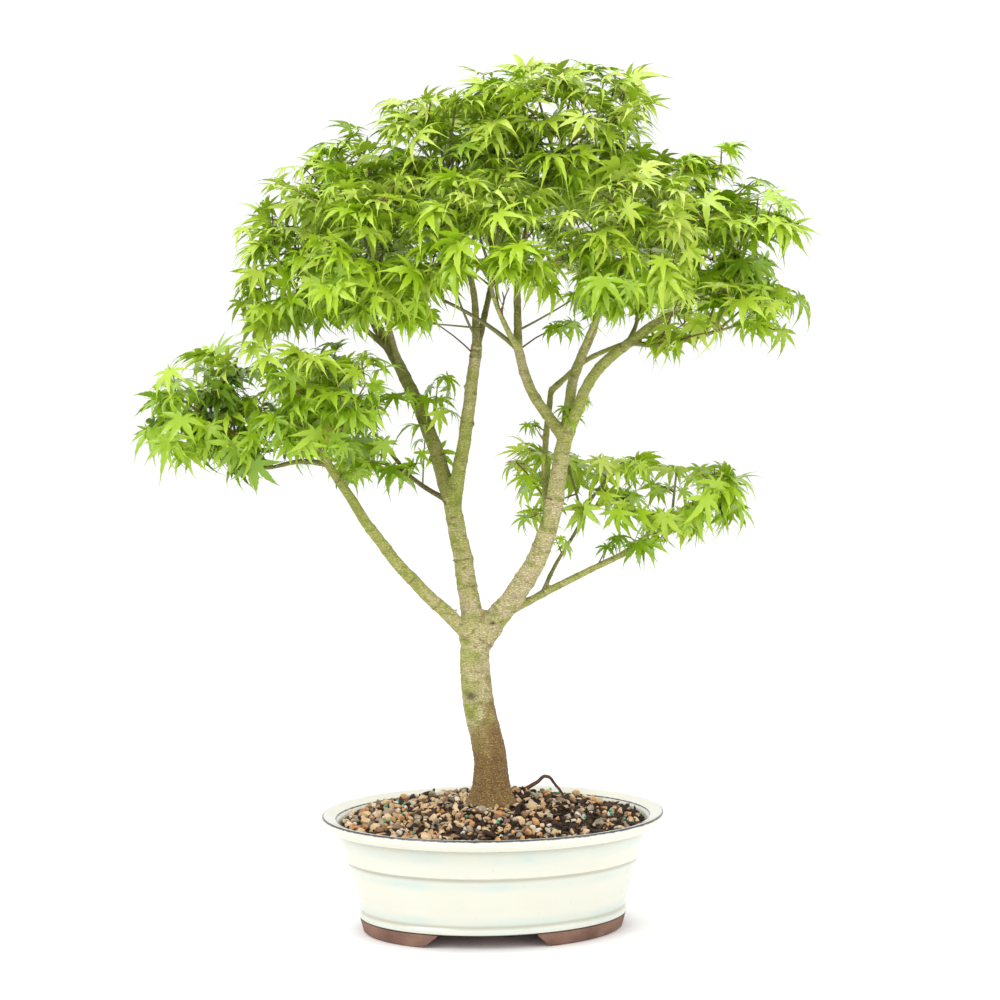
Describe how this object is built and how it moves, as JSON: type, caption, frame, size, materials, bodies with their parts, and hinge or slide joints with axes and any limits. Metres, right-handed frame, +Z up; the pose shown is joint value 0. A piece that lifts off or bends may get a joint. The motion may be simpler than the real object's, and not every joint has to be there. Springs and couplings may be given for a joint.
{
  "type": "potted japanese maple bonsai",
  "caption": "Small japanese maple grown as a bonsai, with a forked trunk and layered green foliage, in an oval glazed pot topped with gravel.",
  "frame": {"origin": "under the middle of the bounding box, on the surface that the pot's feet stand on", "axes": "+Z up, +X along the pot's long axis to the right as seen from the front, +Y away from the front"},
  "size_m": [0.561, 0.3298, 0.7214],
  "materials": {
    "glaze": "glossy cream glaze, bluish where it pools",
    "bare_clay": "matt unglazed dark brown stoneware",
    "gravel": "mixed gravel of grey, tan and orange-brown grains on dark soil",
    "bark": "smooth bark, grey-brown at the foot and olive green above",
    "foliage": "fresh green leaves with a soft sheen"
  },
  "bodies": {
    "root": {"bough_left_low": "bark", "bough_left_outer": "bark", "bough_left_slim": "bark", "bough_left_slim_upper": "bark", "bough_left_upper": "bark", "bough_middle": "bark", "bough_middle_left": "bark", "bough_middle_right": "bark", "bough_right": "bark", "bough_right_inward": "bark", "bough_right_low": "bark", "bough_right_low_outer": "bark", "bough_right_low_upper": "bark", "bough_right_outer": "bark", "bough_right_slim": "bark", "bough_right_slim_arm": "bark", "bough_right_upright": "bark", "branch_centre_front": "bark", "branch_left_back": "bark", "branch_left_front": "bark", "branch_left_high": "bark", "branch_left_low": "bark", "branch_right_back": "bark", "branch_right_front": "bark", "branch_right_high": "bark", "branch_right_low": "bark", "branch_right_outer": "bark", "branch_top": "bark", "branch_top_back": "bark", "branch_top_left": "bark", "crown_centre_front": "foliage", "crown_left_back": "foliage", "crown_left_front": "foliage", "crown_left_high": "foliage", "crown_left_low": "foliage", "crown_right_back": "foliage", "crown_right_front": "foliage", "crown_right_high": "foliage", "crown_right_low": "foliage", "crown_right_outer": "foliage", "crown_top": "foliage", "crown_top_back": "foliage", "crown_top_left": "foliage", "pad_left_back": "foliage", "pad_left_front": "foliage", "pad_left_outer": "foliage", "pad_right_inner": "foliage", "pad_right_outer": "foliage", "pot_bowl": "glaze", "pot_foot_left": "bare_clay", "pot_foot_right": "bare_clay", "soil": "gravel", "trunk": "bark"}
  },
  "joints": []
}
